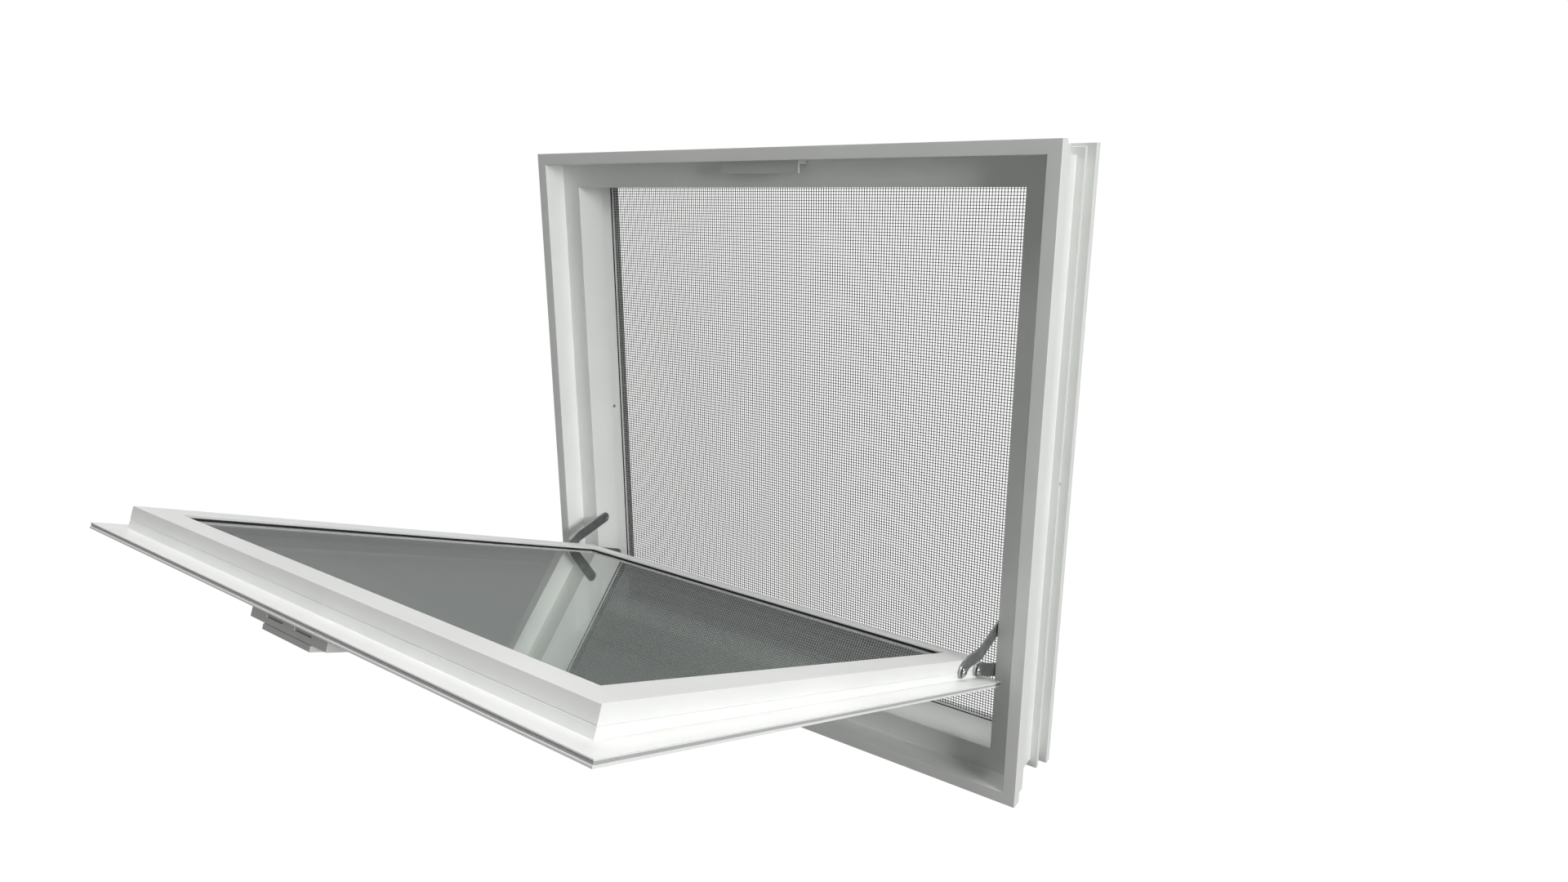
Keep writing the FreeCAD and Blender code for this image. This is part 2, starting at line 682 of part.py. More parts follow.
blocks = []
for side, place in four_sides(FLANGE_WIDE, FLANGE_HIGH).items():
    for spread in ("block_spread", "- block_spread"):
        block = solid_box(f"block_{side}_{len(blocks)}",
                          (spread + " - block_long/2", GLASS_FRONT, REBATE),
                          ("block_long", "block_wide", "glass_inset"))
        holder = group(f"block_holder_{len(blocks)}", [block])
        holder.Placement = place
        blocks.append(holder)
keep("setting_blocks", group("setting_blocks", blocks), sash_place)

# ---- Hinge: arms, rivets, studs, washers and the plates that they are riveted to ---------------

ARM_FACE = OPENING_HALF + " - arm_gap"            # jamb side of an arm, from the middle
SASH_SIDE = OPENING_HALF + " - sash_gap_side"     # side face of the sash body
JOGGLE = "sash_gap_side - arm_gap - arm_gap - arm_thick"


def hinge_arm(name, length, width, near, far):
    """A flat steel strip with an eye at each end. The jamb's eye is at the origin and the
    sash's eye along X, and a joggle brings it nearer the sash."""
    body = new_body(name)
    side_view = body_sketch(body, "XZ_Plane")
    end = f"{length} + {width}/2"
    draw_outline(side_view, [
        (f"- {width}/2", "0"),
        (f"{length} - {far}", "0"),
        (f"{length} - {near}", JOGGLE),
        (end, JOGGLE),
        (end, JOGGLE + " + arm_thick"),
        (f"{length} - {near} - arm_thick/4", JOGGLE + " + arm_thick"),
        (f"{length} - {far} - arm_thick/4", "arm_thick"),
        (f"- {width}/2", "arm_thick"),
    ])
    pad(body, side_view, width, symmetric=True)
    plan = body_sketch(body, "XY_Plane")
    draw_outline(plan, rectangle(f"- {width}", f"- {width}", f"{length} + {width}", width))
    first = plan.GeometryCount
    reach, half = number(length), number(width) / 2
    plan.addGeometry(Part.LineSegment(Vector(0, -half, 0), Vector(reach, -half, 0)), False)
    plan.addGeometry(Part.ArcOfCircle(Part.Circle(Vector(reach, 0, 0), Z_AXIS, half),
                                      -math.pi / 2, math.pi / 2), False)
    plan.addGeometry(Part.LineSegment(Vector(reach, half, 0), Vector(0, half, 0)), False)
    plan.addGeometry(Part.ArcOfCircle(Part.Circle(Vector(0, 0, 0), Z_AXIS, half),
                                      math.pi / 2, 3 * math.pi / 2), False)
    for i in range(4):
        plan.addConstraint(Sketcher.Constraint("Tangent", first + i, 2, first + (i + 1) % 4, 1))
    plan.addConstraint(Sketcher.Constraint("Coincident", first + 3, 3, -1, 1))
    plan.addConstraint(Sketcher.Constraint("PointOnObject", first + 1, 3, -1))
    hold(plan, "DistanceX", length, -1, 1, first + 1, 3)
    hold(plan, "Radius", f"{width}/2", first + 1)
    draw_circle(plan, "0", "0", "pin_radius + pin_play")
    draw_circle(plan, length, "0", "pin_radius + pin_play")
    cut_through(body, plan, side="Symmetric")
    return body


def arm_place(side, pivot, angle):
    """An arm turned to an angle about its jamb pivot, with its joggle towards the sash."""
    sign = side_sign(side)
    turn = Rotation(X_AXIS, angle) * Rotation(Vector(1, 1, 1), 120)
    if sign > 0:
        turn = turn * Rotation(X_AXIS, 180)
    return Placement(Vector(sign * number(ARM_FACE), *pivot), turn)


# The lengths follow from where the pivots are, so they go on the sheet as they come out.
for alias, size in (("long_arm_length", long_length), ("short_arm_length", short_length)):
    row = len(SIZES) + 1
    SIZES[alias] = size
    sheet.set(f"A{row}", alias)
    sheet.set(f"B{row}", str(size))
    sheet.setAlias(f"B{row}", alias)
doc.recompute()

long_angle = angle_to(long_jamb, long_open)
for side in ("left", "right"):
    name = "long_arm_" + side
    arm = hinge_arm(name, "long_arm_length", "long_arm_width", "long_joggle_near",
                    "long_joggle_far")
    long_place = arm_place(side, long_jamb, long_angle)
    keep(name, arm, long_place)
    name = "short_arm_" + side
    arm = hinge_arm(name, "short_arm_length", "short_arm_width", "short_joggle_near",
                    "short_joggle_far")
    keep(name, arm, arm_place(side, short_jamb, stretch_angle))


# A rivet is turned about Y, its head at the far end.
def rivet_outline(shank):
    top = shank + " + rivet_rise"
    return [("0", "0"), ("pin_radius", "0"), ("pin_radius", shank), ("rivet_head_radius", shank),
            ("rivet_head_radius", shank + " + rivet_rim"), ("rivet_crown", top), ("0", top)]


# The long arm's rivets ride on the arms and stop just short of the sash.
LONG_SHANK = "arm_thick + arm_gap - rivet_clear"
for side in ("left", "right"):
    name = "long_arm_rivet_" + side
    rivet = turned(name, rivet_outline(LONG_SHANK))
    lift = number(JOGGLE + " + arm_thick + arm_gap - rivet_clear")
    local = Placement(Vector(number("long_arm_length"), 0, lift), Rotation(X_AXIS, -90))
    keep(name, rivet, arm_place(side, long_jamb, long_angle) * local)

# The short arms turn on rivets that are fixed in the sash, over a washer.
RIVET_SHANK = "sash_wall + plate_thick + arm_gap + arm_thick"
rivets, washers = [], []
for side in ("left", "right"):
    sign = -side_sign(side)                       # the sash's X is mirrored
    rivet = turned("short_rivet_" + side, rivet_outline(RIVET_SHANK))
    root = number(SASH_SIDE + " - sash_wall - plate_thick")
    rivet.Placement = at(sign * root, number("sash_pivot_depth"), number(PIVOT_LOW),
                         Z_AXIS, -90 * sign)
    rivets.append(rivet)
    ring_body = rod("sash_washer_disc_" + side, ("0", "0", "0"), "washer_radius", "washer_thick")
    bore = rod("sash_washer_bore_" + side, ("0 - 1", "0", "0"), "pin_radius + pin_play",
               "washer_thick + 2")
    washer = cut("sash_washer_" + side, ring_body, [bore])
    reach = number(SASH_SIDE) + (0.05 if sign > 0 else 0.05 + number("washer_thick"))
    washer.Placement = at(sign * reach, number("sash_pivot_depth"), number(PIVOT_LOW))
    washers.append(washer)
keep("short_arm_rivets", group("short_arm_rivets", rivets), sash_place)
keep("sash_washers", group("sash_washers", washers), sash_place)

# Studs on the jambs, riveted to a steel plate inside the jamb's chamber.
PLATE_BACK = "stop_width - frame_wall - plate_thick"
STUD = f"{minus(PLATE_BACK)} + stop_width + arm_gap + arm_thick"
jamb_washers = []
for arm, pivot in (("long", long_jamb), ("short", short_jamb)):
    studs = []
    for side in ("left", "right"):
        sign = side_sign(side)
        stud = turned(f"{arm}_stud_{side}", [
            ("0", "- stud_foot_thick"), ("stud_foot_radius", "- stud_foot_thick"),
            ("stud_foot_radius", "0"), ("pin_radius", "0"), ("pin_radius", STUD), ("0", STUD)])
        root = number("frame_width/2") - number(PLATE_BACK)
        stud.Placement = at(sign * root, *pivot, Z_AXIS, 90 * sign)
        studs.append(stud)
        disc = rod(f"{arm}_washer_disc_{side}", ("0", "0", "0"), "washer_radius", "washer_thick")
        bore = rod(f"{arm}_washer_bore_{side}", ("0 - 1", "0", "0"), "pin_radius + pin_play",
                   "washer_thick + 2")
        washer = cut(f"{arm}_washer_{side}", disc, [bore])
        inner = number(OPENING_HALF) - 0.05
        washer.Placement = at(sign * inner - (number("washer_thick") if sign > 0 else 0), *pivot)
        jamb_washers.append(washer)
    keep(f"{arm}_arm_studs", group(f"{arm}_arm_studs", studs), at())
keep("jamb_washers", group("jamb_washers", jamb_washers), at())

for side in ("left", "right"):
    sign = side_sign(side)
    name = "jamb_plate_" + side
    body = new_body(name)
    sketch = body_sketch(body, "YZ_Plane")
    draw_outline(sketch, rectangle("pocket_depth + frame_wall + jamb_plate_side",
                                   "short_pivot_height - jamb_plate_margin",
                                   "stop_end - frame_wall - 0.2",
                                   "long_pivot_height + jamb_plate_margin"))
    draw_circle(sketch, "long_pivot_depth", "long_pivot_height", "pin_radius + pin_play")
    draw_circle(sketch, "short_pivot_depth", "short_pivot_height", "pin_radius + pin_play")
    pad(body, sketch, "plate_thick", symmetric=True)
    middle = number("frame_width/2") - number(PLATE_BACK + " + plate_thick/2")
    keep(name, body, at(sign * middle, 0, 0))

    name = "sash_plate_" + side
    body = new_body(name)
    sketch = body_sketch(body, "YZ_Plane")
    draw_outline(sketch, rectangle("sash_wall + 0.5", "flange_reach + sash_wall + 0.5",
                                   "sash_depth - sash_wall - 0.5",
                                   PIVOT_HIGH + " + sash_plate_margin"))
    draw_circle(sketch, "sash_pivot_depth", PIVOT_LOW, "pin_radius + pin_play")
    pad(body, sketch, "plate_thick", symmetric=True)
    middle = number(SASH_SIDE + " - sash_wall - plate_thick/2")
    keep(name, body, sash_place * at(-sign * middle, 0, 0))

# ---- Keeper on the head, and the latch on the sash's top rail ----------------------------------

body = new_body("keeper")
sketch = body_sketch(body, "YZ_Plane")
draw_outline(sketch, [
    ("0", "0"), ("keeper_run", "0"), ("keeper_run", "- keeper_top_thick"),
    ("keeper_leg_thick", "- keeper_top_thick"), ("keeper_leg_thick", "- keeper_drop"),
    ("0", "- keeper_drop"),
])
pad(body, sketch, "keeper_length", symmetric=True)
holes = body_sketch(body, "XY_Plane")
for spread in ("keeper_screw_spread", "- keeper_screw_spread"):
    draw_circle(holes, spread, "keeper_screw_at - keeper_front", "screw_radius + pin_play")
cut_through(body, holes, side="Symmetric")
keeper_top = number("frame_height - face_width")
keep("keeper", body, at(0, number("keeper_front"), keeper_top))


def screw_outline(shank):
    top = shank + " + screw_head_high"
    return [("0", "0"), ("screw_radius", "0"), ("screw_radius", shank),
            ("screw_head_radius", shank), ("screw_head_radius - 0.8", top), ("0", top)]


screws = []
for sign in (-1, 1):
    screw = turned(f"keeper_screw_{sign + 1}", screw_outline("keeper_top_thick + screw_reach"))
    lift = keeper_top + number("screw_reach")
    screw.Placement = at(sign * number("keeper_screw_spread"), number("keeper_screw_at"), lift,
                         X_AXIS, -90)
    screws.append(screw)
keep("keeper_screws", group("keeper_screws", screws), at())

# The latch's own frame: X along the rail, Y from the rail's room face into the room, Z up, with
# Z = 0 at the latch's front edge. The tongues leave it upwards, through the front wall.
latch_place = sash_place * at(0, number("sash_depth"), number(f"{FLANGE_HIGH} {minus(LATCH_DROP)}"))
CAVITY_DEEP = "tongue_thick + tongue_play + tongue_play"
CAVITY_LOW = "- latch_deep + latch_rear_wall"
housing = solid_box("housing_block", ("- latch_length/2", "0", "- latch_deep"),
                    ("latch_length", "latch_stand", "latch_deep"))
hollow = solid_box("housing_hollow", ("- tongue_out - tongue_play", "0 - 1", CAVITY_LOW),
                   ("tongue_out + tongue_out + tongue_play + tongue_play",
                    CAVITY_DEEP + " + 1",
                    "latch_deep - latch_rear_wall - latch_front_wall"))
cuts = [hollow]
for name, start in (("housing_mouth_right", "tongue_in - tongue_play"),
                    ("housing_mouth_left", "- tongue_out - tongue_play")):
    cuts.append(solid_box(name, (start, "0 - 1", "- latch_front_wall - 1"),
                          ("tongue_out - tongue_in + tongue_play + tongue_play",
                           CAVITY_DEEP + " + 1", "latch_front_wall + 2")))
cuts.append(solid_box("housing_slot", ("- stem_half - tongue_play", CAVITY_DEEP + " - 1",
                                       CAVITY_LOW),
                      ("stem_half + stem_half + tongue_play + tongue_play",
                       "latch_stand + 1",
                       "latch_deep - latch_rear_wall - latch_front_wall")))
for sign in (-1, 1):
    hole = doc.addObject("Part::Cylinder", f"housing_hole_{sign + 1}")
    bind(hole, "Radius", "screw_radius + pin_play")
    bind(hole, "Height", "latch_stand + 2")
    hole.Placement = at(sign * number("latch_screw_spread"), -1, -number("latch_deep/2"),
                        X_AXIS, -90)
    cuts.append(hole)
    seat = doc.addObject("Part::Cylinder", f"housing_seat_{sign + 1}")
    bind(seat, "Radius", "screw_head_radius + pin_play")
    bind(seat, "Height", "screw_head_high + 1")
    seat.Placement = at(sign * number("latch_screw_spread"),
                        number("latch_stand - screw_head_high"), -number("latch_deep/2"),
                        X_AXIS, -90)
    cuts.append(seat)
keep("latch_housing", cut("latch_housing", housing, cuts), latch_place)

screws = []
for sign in (-1, 1):
    screw = turned(f"latch_screw_{sign + 1}",
                   screw_outline("latch_stand - screw_head_high + screw_reach"))
    screw.Placement = at(sign * number("latch_screw_spread"), -number("screw_reach"),
                         -number("latch_deep/2"))
    screws.append(screw)
keep("latch_screws", group("latch_screws", screws), latch_place)

# The bolt is a fork: two tongues and a bridge, with a stem that carries the grip outside.
BRIDGE_LOW = CAVITY_LOW + " + tongue_play"
TONGUE_LONG = "latch_deep - latch_rear_wall - tongue_play - tongue_play"
tongues = []
for name, start in (("tongue_right", "tongue_in"), ("tongue_left", "- tongue_out")):
    tongues.append(solid_box(name, (start, "tongue_play", BRIDGE_LOW),
                             ("tongue_out - tongue_in", "tongue_thick", TONGUE_LONG)))
bridge = solid_box("bolt_bridge", ("- tongue_out", "tongue_play", BRIDGE_LOW),
                   ("tongue_out + tongue_out", "tongue_thick", "bridge_deep"))
GRIP_BACK = "latch_stand + grip_gap"
stem = solid_box("bolt_stem", ("- stem_half", "tongue_play", BRIDGE_LOW),
                 ("stem_half + stem_half", GRIP_BACK + " - tongue_play", "stem_deep"))
keep("latch_bolt", joined("latch_bolt", tongues + [bridge, stem]), latch_place)

grip_bar = solid_box("grip_bar", ("- grip_length/2", GRIP_BACK, "- grip_deep"),
                     ("grip_length", "grip_stand", "grip_deep"))
grip_tail = solid_box("grip_tail", ("- tail_half", GRIP_BACK, BRIDGE_LOW),
                      ("tail_half + tail_half", "tail_thick",
                       f"{minus(BRIDGE_LOW)} - grip_deep + 1"))
keep("latch_grip", joined("latch_grip", [grip_bar, grip_tail]), latch_place)

# ---- Checks and files --------------------------------------------------------------------------

doc.recompute()
for made in doc.Objects:
    if "Invalid" in made.State or "Error" in made.State:
        raise RuntimeError(f"{made.Label} failed: {made.State}")
os.makedirs("parts", exist_ok=True)
for made in parts:
    shape = made.Shape
    if shape.isNull() or not shape.isValid() or shape.Volume <= 0 or not shape.Solids:
        raise RuntimeError(f"{made.Label} has no valid solid")
    shape.exportStep(f"parts/{made.Label}.step")

shift = number("foot_depth") / 2
print(f"{len(parts)} sub-parts, open {open_angle:.4f} degrees, arms {long_length:.3f} and"
      f" {short_length:.3f} mm")
for name, spot in (("long arm on jamb", long_jamb), ("short arm on jamb", short_jamb),
                   ("long arm on sash", long_open), ("short arm on sash", short_open)):
    print(f"{name}: y {spot[0] - shift:.4f}, z {spot[1]:.4f}")
print(f"long arm {long_angle:.4f} to {angle_to(long_jamb, long_shut):.4f} degrees, short arm"
      f" {stretch_angle:.4f} to {angle_to(short_jamb, short_shut):.4f}")
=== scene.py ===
# %% [markdown]
# # A hopper window, tipped open
# A hopper window is a small window, often in a basement, whose sash tips into the room on a hinge
# near its lower edge. The CAD model gives every piece its true size and place, in metres: X runs to
# the right as seen from the room, Y to the outdoors and Z up. This script gives the pieces what a
# CAD model leaves out: the soft edges of extruded plastic, the threads of the insect screen, domed
# rivets, and finishes that answer to light as the real ones do.

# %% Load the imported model
import json
import math

import bmesh
import bpy
from mathutils import Matrix, Vector

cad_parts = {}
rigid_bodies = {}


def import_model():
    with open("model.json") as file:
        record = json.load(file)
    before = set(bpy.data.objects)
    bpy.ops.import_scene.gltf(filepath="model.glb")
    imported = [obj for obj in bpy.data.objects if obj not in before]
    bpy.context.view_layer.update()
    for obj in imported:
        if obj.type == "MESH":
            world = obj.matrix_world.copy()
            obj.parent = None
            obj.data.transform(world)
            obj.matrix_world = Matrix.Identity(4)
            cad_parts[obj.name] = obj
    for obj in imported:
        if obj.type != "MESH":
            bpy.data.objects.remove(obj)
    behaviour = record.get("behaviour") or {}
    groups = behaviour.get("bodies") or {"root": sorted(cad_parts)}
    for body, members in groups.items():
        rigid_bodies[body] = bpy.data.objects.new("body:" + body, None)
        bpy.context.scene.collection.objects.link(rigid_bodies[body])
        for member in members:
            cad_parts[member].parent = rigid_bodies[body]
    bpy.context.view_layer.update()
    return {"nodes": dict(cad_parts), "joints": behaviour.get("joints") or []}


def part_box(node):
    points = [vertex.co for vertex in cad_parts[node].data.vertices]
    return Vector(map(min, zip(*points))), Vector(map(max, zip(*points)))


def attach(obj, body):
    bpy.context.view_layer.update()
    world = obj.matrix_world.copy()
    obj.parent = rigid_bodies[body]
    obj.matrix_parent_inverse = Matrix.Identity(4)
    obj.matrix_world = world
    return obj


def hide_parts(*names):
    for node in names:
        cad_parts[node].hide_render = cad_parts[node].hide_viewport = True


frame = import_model()
MM = 0.001

# %% [markdown]
# ## Which way things run
# The frame's bars run along X and Z. The open sash leans into the room, so its upright bars run
# along a slanted line. The latch slides along that same line, so its joint gives the direction.

# %% Directions
ACROSS = Vector((1, 0, 0))
UP = Vector((0, 0, 1))
slide = next(joint for joint in frame["joints"] if joint["name"] == "latch_slide")
SASH_UP = Vector(slide["axis"]).normalized()
SASH_LEAN = math.atan2(-SASH_UP.y, SASH_UP.z)
print(f"the sash leans {math.degrees(SASH_LEAN):.2f} degrees from upright")


# %% [markdown]
# ## Working on one piece at a time
# A Blender operator acts on whatever is selected, so each step first puts everything else down. A
# CAD node's mesh is loose triangles. A copy of it is merged, and its flat faces are joined back
# into one face each, after which its edges can be rounded as on a hand-made model.

# %% Picking up a piece
def pick(*pieces):
    """Selects these pieces and nothing else, the first one active."""
    bpy.ops.object.select_all(action="DESELECT")
    for piece in pieces:
        piece.select_set(True)
    bpy.context.view_layer.objects.active = pieces[0]


def name_piece(name):
    """Names the active object and its mesh."""
    piece = bpy.context.object
    piece.name = name
    piece.data.name = name
    return piece


# %% A merged copy of a CAD node
MERGE_WITHIN = 0.002 * MM
FLAT_WITHIN = math.radians(1)


def copy_node(node, name):
    pick(frame["nodes"][node])
    bpy.ops.object.duplicate()
    bpy.ops.object.parent_clear(type="CLEAR_KEEP_TRANSFORM")
    piece = name_piece(name)
    for mark in list(piece.keys()):
        del piece[mark]
    piece.data.materials.clear()
    bpy.ops.object.mode_set(mode="EDIT")
    bpy.ops.mesh.select_all(action="SELECT")
    bpy.ops.mesh.remove_doubles(threshold=MERGE_WITHIN)
    bpy.ops.mesh.dissolve_limited(angle_limit=FLAT_WITHIN)
    bpy.ops.object.mode_set(mode="OBJECT")
    return piece


# %% Rounding edges, and only those asked for
SHARP_FROM = math.radians(25)
SMOOTH_UP_TO = math.radians(42)
SHORTEST_EDGE = 5 * MM
NEARLY_PARALLEL = 0.9999


def round_edges(piece, wanted, width, steps=2):
    """Bevels the edges for which wanted(edge) is true."""
    pick(piece)
    bpy.ops.object.mode_set(mode="EDIT")
    bpy.ops.mesh.select_mode(type="EDGE")
    bpy.ops.mesh.select_all(action="DESELECT")
    shape = bmesh.from_edit_mesh(piece.data)
    for edge in shape.edges:
        if len(edge.link_faces) == 2 and wanted(edge):
            edge.select = True
    chosen = sum(edge.select for edge in shape.edges)
    bmesh.update_edit_mesh(piece.data)
    if chosen:
        bpy.ops.mesh.bevel(offset=width, segments=steps, profile=0.5, affect="EDGES",
                           clamp_overlap=True)
    bpy.ops.object.mode_set(mode="OBJECT")
    return chosen


def smooth(piece):
    """Smooth shading up to an angle, with the broad faces kept flat by weighted normals."""
    pick(piece)
    bpy.ops.object.shade_smooth_by_angle(angle=SMOOTH_UP_TO)
    bpy.ops.object.modifier_add(type="WEIGHTED_NORMAL")
    piece.modifiers[-1].keep_sharp = True
    bpy.ops.object.modifier_apply(modifier=piece.modifiers[-1].name)


def sharp(edge):
    return edge.calc_face_angle(0) > SHARP_FROM


def sharp_along(run):
    """Sharp edges that run along a direction."""
    def wanted(edge):
        line = edge.verts[1].co - edge.verts[0].co
        if not sharp(edge) or line.length <= SHORTEST_EDGE:
            return False
        return abs(line.normalized().dot(run)) > NEARLY_PARALLEL
    return wanted


# %% [markdown]
# ## Finishes
# Each finish starts from what the material is. Colours are picked as sRGB hex, as on a paint card,
# and turned linear once. One helper adds a node with its settings and its links.

# %% Colour and node helpers
def linear(code):
    """An sRGB hex colour as linear red, green, blue and alpha."""
    parts = [int(code[i:i + 2], 16) / 255 for i in (1, 3, 5)]
    return [c / 12.92 if c <= 0.04045 else ((c + 0.055) / 1.055) ** 2.4 for c in parts] + [1.0]


def add_node(tree, kind, links=None, **settings):
    """A node with its settings. links holds a number, a colour or another node's socket for each
    of its inputs."""
    made = tree.nodes.new(kind)
    for name, setting in settings.items():
        setattr(made, name, setting)
    for name, value in (links or {}).items():
        if isinstance(value, bpy.types.NodeSocket):
            tree.links.new(value, made.inputs[name])
        else:
            made.inputs[name].default_value = value
    return made


def start_finish(name, **sockets):
    """An empty material with its shader, whose own sockets hold what is the same all over."""
    finish = bpy.data.materials.new(name)
    finish.use_nodes = True
    tree = finish.node_tree
    shader = tree.nodes["Principled BSDF"]
    for socket, value in sockets.items():
        shader.inputs[socket.replace("_", " ")].default_value = value
    return finish, tree, shader


# %% Grain: noise at a real size in millimetres
NOISE_LOW, NOISE_HIGH = 0.3, 0.7
TONE_FROM, TONE_TO = 0.35, 0.65


def grain(tree, size_mm, turn=0.0, detail=2.0):
    """Noise whose features are size_mm = (along X, along Y, along Z) big, after a turn about X."""
    place = add_node(tree, "ShaderNodeTexCoord").outputs["Object"]
    turned = add_node(tree, "ShaderNodeMapping", {
        "Vector": place,
        "Rotation": (-turn, 0, 0),
        "Scale": [1 / (size * MM) for size in size_mm],
    }).outputs["Vector"]
    return add_node(tree, "ShaderNodeTexNoise", {
        "Vector": turned, "Scale": 1.0, "Detail": detail, "Roughness": 0.55,
    }).outputs["Fac"]


def between(tree, factor, low, high):
    """Turns a noise's middle range into the range from low to high."""
    return add_node(tree, "ShaderNodeMapRange", {
        "Value": factor, "From Min": NOISE_LOW, "From Max": NOISE_HIGH, "To Min": low,
        "To Max": high,
    }).outputs["Result"]


def two_tone(tree, factor, one, other):
    """A colour that wanders between two near tones."""
    ramp = add_node(tree, "ShaderNodeValToRGB", {"Fac": factor})
    ramp.color_ramp.elements[0].position = TONE_FROM
    ramp.color_ramp.elements[1].position = TONE_TO
    ramp.color_ramp.elements[0].color = linear(one)
    ramp.color_ramp.elements[1].color = linear(other)
    return ramp.outputs["Color"]


def bump(tree, shader, height, depth_mm):
    relief = add_node(tree, "ShaderNodeBump", {
        "Height": height, "Strength": 1.0, "Distance": depth_mm * MM,
    })
    tree.links.new(relief.outputs["Normal"], shader.inputs["Normal"])


# %% [markdown]
# ### White PVC, extruded
# The frame and the sash are hollow bars of rigid white PVC, pushed through a steel die. The die
# leaves faint lines along each bar, too fine to show, so they are drawn about 2 mm apart. The skin
# is satin: it has a broad, soft highlight. Titanium dioxide makes the white cool and very even.

# %% White PVC
FRAME_WHITES = ("#eff1ee", "#ebedea")
SASH_WHITES = ("#f2f3f1", "#eeefed")
LINES_ACROSS = (180, 2, 2)
LINES_UPRIGHT = (2, 2, 180)


def extruded_pvc(name, run_mm, whites, turn=0.0):
    """run_mm is how long a die line's wander is along X, Y and Z."""
    finish, tree, shader = start_finish(name, IOR=1.54)
    lines = grain(tree, run_mm, turn)
    cloud = grain(tree, (70, 70, 70), turn, detail=3)
    tree.links.new(two_tone(tree, cloud, *whites), shader.inputs["Base Color"])
    tree.links.new(between(tree, lines, 0.34, 0.44), shader.inputs["Roughness"])
    bump(tree, shader, lines, 0.012)
    return finish


pvc_across = extruded_pvc("pvc_extruded_across", LINES_ACROSS, FRAME_WHITES)
pvc_upright = extruded_pvc("pvc_extruded_upright", LINES_UPRIGHT, FRAME_WHITES)
pvc_sash_across = extruded_pvc("pvc_sash_across", LINES_ACROSS, SASH_WHITES)
pvc_sash_upright = extruded_pvc("pvc_sash_upright", LINES_UPRIGHT, SASH_WHITES, turn=SASH_LEAN)
print("white PVC in four runs")

# %% [markdown]
# ### Metals
# The hinge arms are pressed from zinc-plated steel strip. Plating gives a grey metal with a fine
# brushed grain and dull clouds. Rivet heads are formed under a punch, which burnishes them bright.
# The screen's bars are roll-formed aluminium with white paint. The keeper has white powder coat,
# whose orange-peel dimples are about 1.5 mm across.

# %% Plated steel
BRUSH_MM = (6, 0.5, 0.5)


def plated_steel(name, light, shade, dull, polished):
    finish, tree, shader = start_finish(name, Metallic=1.0)
    cloud = grain(tree, (9, 9, 9), detail=4)
    lines = grain(tree, BRUSH_MM)
    tree.links.new(two_tone(tree, cloud, light, shade), shader.inputs["Base Color"])
    tree.links.new(between(tree, cloud, polished, dull), shader.inputs["Roughness"])
    bump(tree, shader, lines, 0.01)
    return finish


arm_steel = plated_steel("steel_zinc_plated", "#bcbfbf", "#a6a9a9", 0.42, 0.3)
rivet_steel = plated_steel("steel_burnished", "#c9cbcc", "#b9bbbd", 0.26, 0.16)
plain_steel = plated_steel("steel_bright_zinc", "#a9acad", "#989b9d", 0.38, 0.26)


# %% Painted metal
def painted(name, light, shade, roughness, dimple_mm, depth_mm):
    finish, tree, shader = start_finish(name, IOR=1.5)
    dimples = grain(tree, (dimple_mm,) * 3, detail=1)
    cloud = grain(tree, (40, 40, 40), detail=3)
    tree.links.new(two_tone(tree, cloud, light, shade), shader.inputs["Base Color"])
    tree.links.new(between(tree, dimples, roughness - 0.04, roughness + 0.05),
                   shader.inputs["Roughness"])
    bump(tree, shader, dimples, depth_mm)
    return finish


screen_paint = painted("aluminium_white_paint", "#e4e6e4", "#dfe1df", 0.4, 1.2, 0.02)
white_powder = painted("steel_white_powder_coat", "#d0d2d0", "#cbcdcb", 0.38, 1.5, 0.03)
spacer_metal = plated_steel("aluminium_mill_finish", "#9ea1a3", "#8f9294", 0.42, 0.32)
print("six metals")

# %% [markdown]
# ### The screen's painted shadow line
# The dark gap between the screen's bars and the frame is painted on as shade, not made as a piece:
# the paint turns black over the first 2.2 mm of each bar's depth, counted from the room.

# %% Painted shadow: black along the room side of the screen's bars
SHADOW_LINE_DEEP = 2.2 * MM
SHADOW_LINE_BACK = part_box("screen_bar_left")[0].y + SHADOW_LINE_DEEP
SHADOW_LINE_ROUGHNESS = 0.6


def paint_shadow_line(finish):
    """Paints shade: turns a paint black and dull wherever it lies within the shadow line's depth
    from the room.
    """
    tree = finish.node_tree
    shader = tree.nodes["Principled BSDF"]
    place = add_node(tree, "ShaderNodeTexCoord").outputs["Object"]
    depth = add_node(tree, "ShaderNodeSeparateXYZ", {"Vector": place}).outputs["Y"]
    in_shadow_line = add_node(tree, "ShaderNodeMath", {0: depth, 1: SHADOW_LINE_BACK}, operation="LESS_THAN")
    rough = [SHADOW_LINE_ROUGHNESS] * 3 + [1]
    for socket, dull in (("Base Color", linear("#202223")), ("Roughness", rough)):
        paint = shader.inputs[socket].links[0].from_socket
        mix = add_node(tree, "ShaderNodeMix", {0: in_shadow_line.outputs[0], 6: paint, 7: dull},
                       data_type="RGBA")
        tree.links.new(mix.outputs[2], shader.inputs[socket])


# The screen's paint gets its painted shadow line along the room side of each bar.
paint_shadow_line(screen_paint)
print("screen paint with its painted_shadow_line")

# %% [markdown]
# ### Moulded plastics, rubber and glass-fibre yarn
# The latch is moulded in glossier white plastic with a fine spark texture. The glazing gasket is
# black rubber, dull and slightly mottled. The insect screen is glass-fibre yarn in a dark vinyl
# coat, and the coat has a soft shine along each thread.

